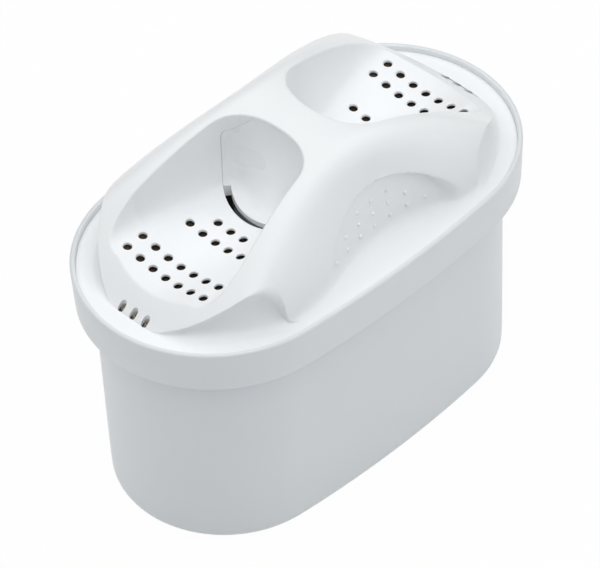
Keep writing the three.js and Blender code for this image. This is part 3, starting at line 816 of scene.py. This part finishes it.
def woven_mesh(name, colour, pitch):
    """Fine woven screen: threads that pass over and under each other, with painted shade where they dip under."""
    shader = Shader(name)
    turn = 2 * math.pi / pitch
    parts = shader.node("ShaderNodeSeparateXYZ", {}, {0: shader.place})
    x, y = Value(shader, parts.outputs["X"]), Value(shader, parts.outputs["Y"])
    warp = (x * turn).maths("SINE", x * turn)
    weft = (y * turn).maths("SINE", y * turn)
    crossed = (x * (turn / 2)).maths("SINE", x * (turn / 2)) * (y * (turn / 2)).maths("SINE", y * (turn / 2))
    height = warp * 0.5 + weft * 0.5 + crossed * 0.6
    # painted shade: threads are coloured darker where they dip under and lighter where they cross over
    share = height.maths("MULTIPLY_ADD", height, 0.35, 0.5)
    speck = shader.noise(1800.0, 3.0)
    tone = shader.blend(share, scaled(colour, 0.3), scaled(colour, 1.1))
    return shader.surface(
        base_color=tone, roughness=0.75 + 0.2 * speck, normal=shader.bump(height, pitch * 0.25),
    )


def loose_grains(name, colour, size, glint, spread):
    """A bed of grains or beads, each a little lighter or darker than the next."""
    shader = Shader(name)
    cells = shader.node(
        "ShaderNodeTexVoronoi", {"feature": "F1"}, {"Vector": shader.place, "Scale": 1 / size, "Randomness": 0.9},
    )
    shade = shader.value("ShaderNodeSeparateColor", {}, {0: cells.outputs["Color"]})
    tone = shader.blend(shade, scaled(colour, 1 - spread), scaled(colour, 1 + spread))
    depth = 1 - Value(shader, cells.outputs["Distance"])
    return shader.surface(
        base_color=tone, roughness=glint + 0.2 * shade, normal=shader.bump(depth, size * 0.4),
    )


def soft_fleece(name, colour):
    """Matted fleece with short crossed fibres."""
    shader = Shader(name)
    fibres = shader.noise(900.0, 6.0, (1.0, 6.0, 1.0)) * 0.5 + shader.noise(900.0, 6.0, (6.0, 1.0, 1.0)) * 0.5
    tone = shader.blend(fibres, scaled(colour, 0.8), scaled(colour, 1.1))
    return shader.surface(base_color=tone, roughness=0.9, normal=shader.bump(fibres, 0.0002))


# Operators


class CARTRIDGE_OT_housing(bpy.types.Operator):
    """Model the tub with its collar, rim and outlet slots"""
    bl_idname = "cartridge.housing"
    bl_label = "Housing"
    bl_options = {"REGISTER", "UNDO"}

    def execute(self, context):
        s, c = context.scene.cartridge_sizes, context.scene.cartridge_colours
        inset = lambda z: s.tub_inset + s.tub_draft * (1 - z / s.collar_bottom)
        levels = []
        for i in range(9):
            t = math.pi / 2 * i / 8
            z = s.tub_rounding * (1 - math.cos(t))
            levels.append((z, inset(0) + s.tub_rounding * (1 - math.sin(t))))
        levels += [(s.collar_bottom * k / 6, inset(s.collar_bottom * k / 6)) for k in range(1, 6)]
        levels += [(s.collar_bottom - 0.0003, s.tub_inset), (s.collar_bottom, s.tub_inset - 0.0003)]
        levels += [(s.collar_bottom, s.collar_draft + s.collar_edge)]
        levels += [(s.collar_bottom + s.collar_edge * 0.3, s.collar_draft + s.collar_edge * 0.3)]
        levels += [(s.collar_bottom + s.collar_edge, s.collar_draft)]
        for i in range(6):
            t = math.pi / 2 * i / 5
            levels.append((
                s.rim_top - s.rim_rounding * (1 - math.sin(t)), s.rim_rounding * (1 - math.cos(t)),
            ))
        inner = s.rim_inner_rounding
        for i in range(5):
            t = math.pi / 2 * i / 4
            levels.append((
                s.rim_top - inner * (1 - math.cos(t)), s.rim_width - inner * (1 - math.sin(t)),
            ))
        levels += [(s.shelf_top, s.rim_width), (s.shelf_top, s.tub_inset + s.tub_wall)]
        levels += [(s.tub_floor + 0.001, inset(0) + s.tub_wall), (s.tub_floor, inset(0) + s.tub_wall + 0.001)]
        rings = [oval_ring(s, z, inward) for z, inward in levels]
        bm = bmesh.new()
        lay_grid(bm, [[ring[i % len(ring)] for ring in rings] for i in range(len(rings[0]) + 1)])
        weld(bm)
        bmesh.ops.holes_fill(bm, edges=[e for e in bm.edges if e.is_boundary], sides=0)
        piece = finished(bm, "housing_tub")
        bm = bmesh.new()
        half = s.slot_width / 2
        for row in (-0.5, 0.5):
            for i in range(s.slot_count):
                x = (i - (s.slot_count - 1) / 2) * s.slot_pitch
                y = row * s.slot_row_pitch
                run = s.slot_length / 2 - half
                ends = arc(0, half, 0, math.pi, 8)
                outline = [(x + a, y + run + b) for a, b in ends] + [(x - a, y - run - b) for a, b in ends]
                prism(bm, outline, -0.001, s.tub_floor + 0.001)
        carve(piece, finished(bm, "slots"))
        ride(piece, "housing", moulded_plastic("housing_plastic", c.housing, 0.36, 0.5))
        return {"FINISHED"}


def oval_ring(s, z, inset, count=240):
    """Points round the collar's outline of four arcs, moved inwards, at a height."""
    a, b = s.half_length - inset, s.half_width - inset
    r = b - s.side_bulge
    big = ((a - r) ** 2 + b * b - r * r) / (2 * (b - r))
    turn = math.atan2(big - b, a - r)
    end = [Vector((a - r + r * math.cos(t), r * math.sin(t), z)) for t in (
        turn * i / 60 for i in range(61))]
    side = [Vector((big * math.cos(t), big * math.sin(t) - big + b, z)) for t in (
        turn + (math.pi / 2 - turn) * i / 40 for i in range(1, 41))]
    quarter = resample(end + side, count // 4 + 1)
    half = quarter + [Vector((-p.x, p.y, z)) for p in quarter[-2::-1]]
    return half[:-1] + [Vector((-p.x, -p.y, z)) for p in half[:-1]]


class CARTRIDGE_OT_cover(bpy.types.Operator):
    """Model the cover: ledge, arched crown, basins, recesses, inlet holes and vents"""
    bl_idname = "cartridge.cover"
    bl_label = "Cover"
    bl_options = {"REGISTER", "UNDO"}

    def execute(self, context):
        s, c = context.scene.cartridge_sizes, context.scene.cartridge_colours
        piece = cover_form(s, "cover_moulding")
        self.hollow(s, piece)
        self.pierce(s, piece)
        carve(piece, insert_space(s, s.joint_gap / 2, "well"))
        ride(piece, "cover", moulded_plastic("cover_plastic", c.cover, 0.3, 0.4))
        return {"FINISHED"}

    def hollow(self, s, piece):
        """The rooms under the basin floors and under the end slopes"""
        under, wide = COVER_LOW.z - 0.001, s.room_half
        inner, outer = s.insert_radius + s.plate, s.room_outer
        room = [(-wide, under)]
        for i in range(25):
            y = -wide + 2 * wide * i / 24
            room.append((y, min(floor_height(s, y), floor_at(s, FAN_X, y)) - s.basin_plate))
        room.append((wide, under))
        deep, reach = s.vent_inner - s.vent_room_margin, s.skirt_half_length - s.vent_wall
        slope = [(deep, under), (reach, under)]
        for i in range(9):
            x = reach + (deep - reach) * i / 8
            slope.append((x, crown_height(s, x) - s.vent_wall * math.hypot(1, 2 * s.crown_fall * x)))
        bm = bmesh.new()
        for side in both_ends(1):
            along_x(bm, room, *sorted((side * inner, side * outer)))
            verts = prism(bm, slope, -s.vent_room_half, s.vent_room_half)
            for v in verts:
                v.co = (side * v.co.x, v.co.z, v.co.y)
        carve(piece, finished(bm, "rooms"))

    def pierce(self, s, piece):
        """The inlet holes with their rounded upper edges, and the vent slots"""
        radius, rounding = s.hole_size / 2, s.hole_rounding
        line = [Vector((0, -0.004)), Vector((radius, -0.004))]
        line += soft_corner(
            Vector((radius, -rounding)), Vector((radius, 0)), Vector((radius + rounding, 0.00002)), 6,
        )
        line += [Vector((radius + rounding, 0.003)), Vector((0, 0.003))]
        bm = bmesh.new()
        for side in both_ends(1):
            for x, count in HOLE_ROWS:
                for i in range(count):
                    y = (i - (count - 1) / 2) * s.hole_pitch
                    for v in turned(bm, line, 32):
                        v.co += Vector((side * x, y, 0))
                        v.co.z += floor_at(s, v.co.x, v.co.y)
            for i in (-1, 0, 1):
                radius = s.vent_width / 2
                first, last = s.vent_inner + radius, s.vent_outer - radius
                turns = [math.pi * k / 12 for k in range(13)]
                outline = [(last + radius * math.sin(t), -radius * math.cos(t)) for t in turns]
                outline += [(first - radius * math.sin(t), radius * math.cos(t)) for t in turns]
                outline = [(side * x, i * s.vent_pitch + y) for x, y in outline]
                prism(bm, outline, COVER_LOW.z - 0.001, s.ledge + 0.006)
        carve(piece, finished(bm, "openings"))


class CARTRIDGE_OT_flow_insert(bpy.types.Operator):
    """Model the flow insert under the bridge, with its spoon faces and lips"""
    bl_idname = "cartridge.flow_insert"
    bl_label = "Flow insert"
    bl_options = {"REGISTER", "UNDO"}

    def execute(self, context):
        s, c = context.scene.cartridge_sizes, context.scene.cartridge_colours
        piece = cover_form(s, "flow_insert_moulding")
        carve(piece, insert_space(s, -s.joint_gap / 2, "room"), "INTERSECT")
        inner, outer = s.insert_radius - s.slit_width, s.insert_radius + 0.001
        under = INSERT_LOW.z - 0.001
        bm = bmesh.new()
        ring_part(bm, inner, outer, s.slit_turn, under, s.basin_floor + s.slit_rise)
        carve(piece, finished(bm, "slits"))
        bm = bmesh.new()
        ring_part(bm, inner - 0.0001, outer, s.port_turn, under, s.lip_bottom)
        carve(piece, finished(bm, "ports"))
        bm = bmesh.new()
        line = [(0, under), (inner - 0.00005, under), (inner - 0.00005, s.lip_bottom), (0, s.lip_bottom)]
        turned(bm, [Vector(p) for p in line], 96)
        carve(piece, finished(bm, "duct"))
        # painted shade: the insert's colour goes near black below its lips, inside the duct
        ride(piece, "flow_insert", moulded_plastic(
            "insert_plastic", c.insert, 0.28, 0.4, s.lip_bottom + 0.0001))
        return {"FINISHED"}


class CARTRIDGE_OT_bumps(bpy.types.Operator):
    """Model the small grip bumps in the finger recesses"""
    bl_idname = "cartridge.bumps"
    bl_label = "Grip bumps"
    bl_options = {"REGISTER", "UNDO"}

    def execute(self, context):
        s = context.scene.cartridge_sizes
        bm = bmesh.new()
        for side in both_ends(1):
            for z, count in BUMP_ROWS:
                for i in range(count):
                    away = (i - (count - 1) / 2) * s.bump_pitch
                    across = s.bump_x + away - s.recess_x
                    place = Matrix.Translation((side * (s.bump_x + away), -side * recess_wall(s, across, z), z))
                    shape = place @ Matrix.Diagonal((1.0, BUMP_FLATTENING, 1.0)).to_4x4()
                    bmesh.ops.create_uvsphere(bm, u_segments=20, v_segments=12, radius=s.bump_size, matrix=shape)
        piece = finished(bm, "grip_bumps", 80.0)
        ride(piece, None, bpy.data.materials["cover_plastic"])
        return {"FINISHED"}


class CARTRIDGE_OT_media(bpy.types.Operator):
    """Give the screens and the filter beds their finishes"""
    bl_idname = "cartridge.media"
    bl_label = "Screens and media"
    bl_options = {"REGISTER", "UNDO"}

    def execute(self, context):
        c = context.scene.cartridge_colours
        pale = woven_mesh("pale_mesh", c.pale_mesh, 0.0005)
        dark = woven_mesh("dark_mesh", c.dark_mesh, 0.0004)
        looks = {
            "vent_screen_left": pale, "vent_screen_right": pale, "outlet_screen": pale, "duct_screen": dark,
            "inlet_screen_left": dark, "inlet_screen_right": dark,
            "carbon_bed": loose_grains("carbon_grains", c.carbon, 0.0009, 0.45, 0.6),
            "resin_bed": loose_grains("resin_beads", c.resin, 0.0006, 0.25, 0.25),
            "separator_fleece": soft_fleece("fleece", c.fleece),
        }
        for node, look in looks.items():
            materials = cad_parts[node].data.materials
            materials.clear()
            materials.append(look)
        return {"FINISHED"}


class CARTRIDGE_OT_stage(bpy.types.Operator):
    """Set up the floor, the soft light and the camera"""
    bl_idname = "cartridge.stage"
    bl_label = "Studio"
    bl_options = {"REGISTER", "UNDO"}

    def execute(self, context):
        scene = context.scene
        scene.view_settings.view_transform = "Standard"
        bm = bmesh.new()
        bmesh.ops.create_grid(bm, x_segments=1, y_segments=1, size=3.0)
        bmesh.ops.translate(bm, verts=bm.verts, vec=(0, 0, -0.00005))
        floor = finished(bm, "floor")
        floor.data.materials.append(floor_material(scene.cartridge_colours.floor))
        world = bpy.data.worlds.new("studio")
        world.use_nodes = True
        scene.world = world
        tree = world.node_tree
        tree.nodes.clear()
        output = tree.nodes.new("ShaderNodeOutputWorld")
        plain = tree.nodes.new("ShaderNodeBackground")
        plain.inputs["Color"].default_value = (*scene.cartridge_colours.room_light, 1.0)
        plain.inputs["Strength"].default_value = 1.0
        white = tree.nodes.new("ShaderNodeBackground")
        white.inputs["Color"].default_value = (1.0, 1.0, 1.0, 1.0)
        path = tree.nodes.new("ShaderNodeLightPath")
        mix = tree.nodes.new("ShaderNodeMixShader")
        tree.links.new(path.outputs["Is Camera Ray"], mix.inputs["Fac"])
        tree.links.new(plain.outputs[0], mix.inputs[1])
        tree.links.new(white.outputs[0], mix.inputs[2])
        tree.links.new(mix.outputs[0], output.inputs["Surface"])
        add_lamp("lamp_above", (0.0, -0.05, 1.3), (0.0, -0.05, 0.05), 2.6, 29.0, (0.99, 1.0, 1.0))
        add_lamp("lamp_right", (0.6, -1.2, 0.45), (0, 0, 0.05), 0.8, 2.8, (0.985, 1.0, 1.0))
        add_lamp("lamp_left", (-1.2, 0.6, 0.6), (0, 0, 0.05), 0.8, 1.9, (0.985, 1.0, 1.0))
        add_camera(scene)
        return {"FINISHED"}


def floor_material(colour):
    """Pale floor that shows nearly white to the camera and keeps the object's soft shadow."""
    shader = Shader("studio_floor")
    speck = shader.noise(60.0, 2.0)
    tone = shader.blend(speck, scaled(colour, 0.99), scaled(colour, 1.01))
    matt = shader.node("ShaderNodeBsdfDiffuse", {}, {"Color": tone})
    glow = shader.node("ShaderNodeEmission", {}, {"Color": (1.0, 1.0, 1.0), "Strength": 1.0})
    path = shader.node("ShaderNodeLightPath")
    seen = Value(shader, path.outputs["Is Camera Ray"])
    seen = seen.maths("MAXIMUM", seen, Value(shader, path.outputs["Is Glossy Ray"]))
    mix = shader.node("ShaderNodeMixShader", {}, {0: seen * 0.97, 1: matt.outputs[0], 2: glow.outputs[0]})
    shader.tree.links.new(mix.outputs[0], shader.output.inputs["Surface"])
    return shader.material


def add_lamp(name, place, target, size, power, colour):
    """A square soft box that looks at a point."""
    lamp = bpy.data.lights.new(name, "AREA")
    lamp.shape, lamp.size, lamp.energy, lamp.color = "SQUARE", size, power, colour
    lamp_object = bpy.data.objects.new(name, lamp)
    bpy.context.scene.collection.objects.link(lamp_object)
    lamp_object.location = place
    lamp_object.rotation_euler = (Vector(target) - Vector(place)).to_track_quat("-Z", "Y").to_euler()


CAMERA_AZIMUTH, CAMERA_ELEVATION, CAMERA_ROLL = (math.radians(turn) for turn in (-42.8763, 43.9245, -3.047))
CAMERA_DISTANCE = 1.179183
CAMERA_RIGHT = -0.0019622
CAMERA_RISE = 0.0244591
SENSOR_WIDTH = 36.0
FOCAL_SHARE = 5438.07 / 600


def add_camera(scene):
    """A long lens at the photographed angle: turned 43 degrees, 44 degrees above the horizon."""
    azimuth, elevation, roll = CAMERA_AZIMUTH, CAMERA_ELEVATION, CAMERA_ROLL
    back = Vector((
        math.sin(azimuth) * math.cos(elevation), -math.cos(azimuth) * math.cos(elevation), math.sin(elevation),
    ))
    level = Vector((math.cos(azimuth), math.sin(azimuth), 0))
    rise = back.cross(level)
    right = level * math.cos(roll) + rise * math.sin(roll)
    up = rise * math.cos(roll) - level * math.sin(roll)
    eye = back * CAMERA_DISTANCE + right * CAMERA_RIGHT + up * CAMERA_RISE
    data = bpy.data.cameras.new("camera")
    data.sensor_width = SENSOR_WIDTH
    data.lens = SENSOR_WIDTH * FOCAL_SHARE
    data.clip_start, data.clip_end = 0.05, 20.0
    camera = bpy.data.objects.new("camera", data)
    scene.collection.objects.link(camera)
    camera.matrix_world = Matrix.Translation(eye) @ Matrix((right, up, back)).transposed().to_4x4()
    scene.camera = camera


class CARTRIDGE_PT_panel(bpy.types.Panel):
    """Sidebar panel with the sizes, the colours and the steps"""
    bl_idname = "CARTRIDGE_PT_panel"
    bl_label = "Filter cartridge"
    bl_space_type = "VIEW_3D"
    bl_region_type = "UI"
    bl_category = "Cartridge"

    def draw(self, context):
        layout = self.layout
        for operator in OPERATORS:
            layout.operator(operator.bl_idname)
        for group in (context.scene.cartridge_sizes, context.scene.cartridge_colours):
            box = layout.box()
            for name in group.__annotations__:
                box.prop(group, name)


OPERATORS = (
    CARTRIDGE_OT_housing, CARTRIDGE_OT_cover, CARTRIDGE_OT_flow_insert, CARTRIDGE_OT_bumps,
    CARTRIDGE_OT_media, CARTRIDGE_OT_stage,
)
CLASSES = (CartridgeSizes, CartridgeColours, *OPERATORS, CARTRIDGE_PT_panel)


def register():
    for cls in CLASSES:
        bpy.utils.register_class(cls)
    bpy.types.Scene.cartridge_sizes = PointerProperty(type=CartridgeSizes)
    bpy.types.Scene.cartridge_colours = PointerProperty(type=CartridgeColours)


def unregister():
    del bpy.types.Scene.cartridge_colours
    del bpy.types.Scene.cartridge_sizes
    for cls in reversed(CLASSES):
        bpy.utils.unregister_class(cls)


def main():
    register()
    bpy.ops.cartridge.housing()
    bpy.ops.cartridge.cover()
    bpy.ops.cartridge.flow_insert()
    bpy.ops.cartridge.bumps()
    bpy.ops.cartridge.media()
    bpy.ops.cartridge.stage()


if __name__ == "__main__":
    main()
